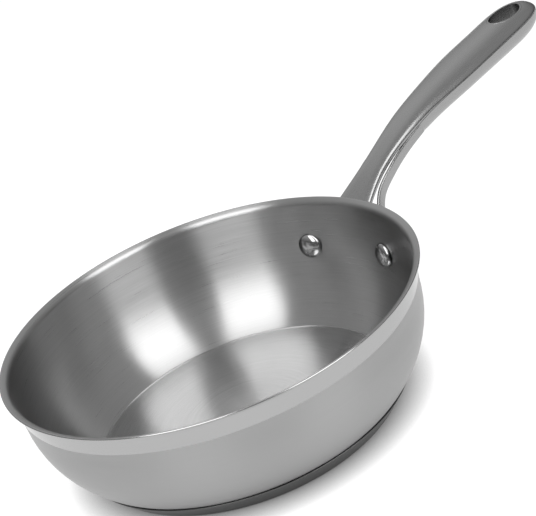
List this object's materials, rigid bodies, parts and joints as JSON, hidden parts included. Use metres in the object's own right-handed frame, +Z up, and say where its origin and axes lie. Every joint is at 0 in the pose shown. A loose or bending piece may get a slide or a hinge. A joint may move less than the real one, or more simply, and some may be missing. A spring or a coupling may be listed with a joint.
{
  "type": "deep saute pan",
  "caption": "Deep round stainless saute pan with a flared pouring lip, a capped heat-spreading base and a hollow riveted long handle with a hanging hole.",
  "frame": {"origin": "on the pan's axis, at the underside of the base", "axes": "+Z up along the pan's axis, +X along the handle from the pan to its tip, +Y to the left seen from the pan towards the tip"},
  "size_m": [0.4386, 0.24, 0.1071],
  "materials": {
    "body_steel": "fine circular brushed steel, polished band under the lip outside",
    "core_aluminium": "plain, hidden inside the base",
    "cap_steel": "satin steel",
    "handle_steel": "satin brushed along the handle",
    "rivet_steel": "polished"
  },
  "bodies": {
    "root": {"pan_body": "body_steel", "base_core": "core_aluminium", "base_cap": "cap_steel", "handle_upper_shell": "handle_steel", "handle_lower_shell": "handle_steel", "hang_hole_sleeve": "handle_steel", "rivet_near": "rivet_steel", "rivet_far": "rivet_steel"}
  },
  "joints": []
}
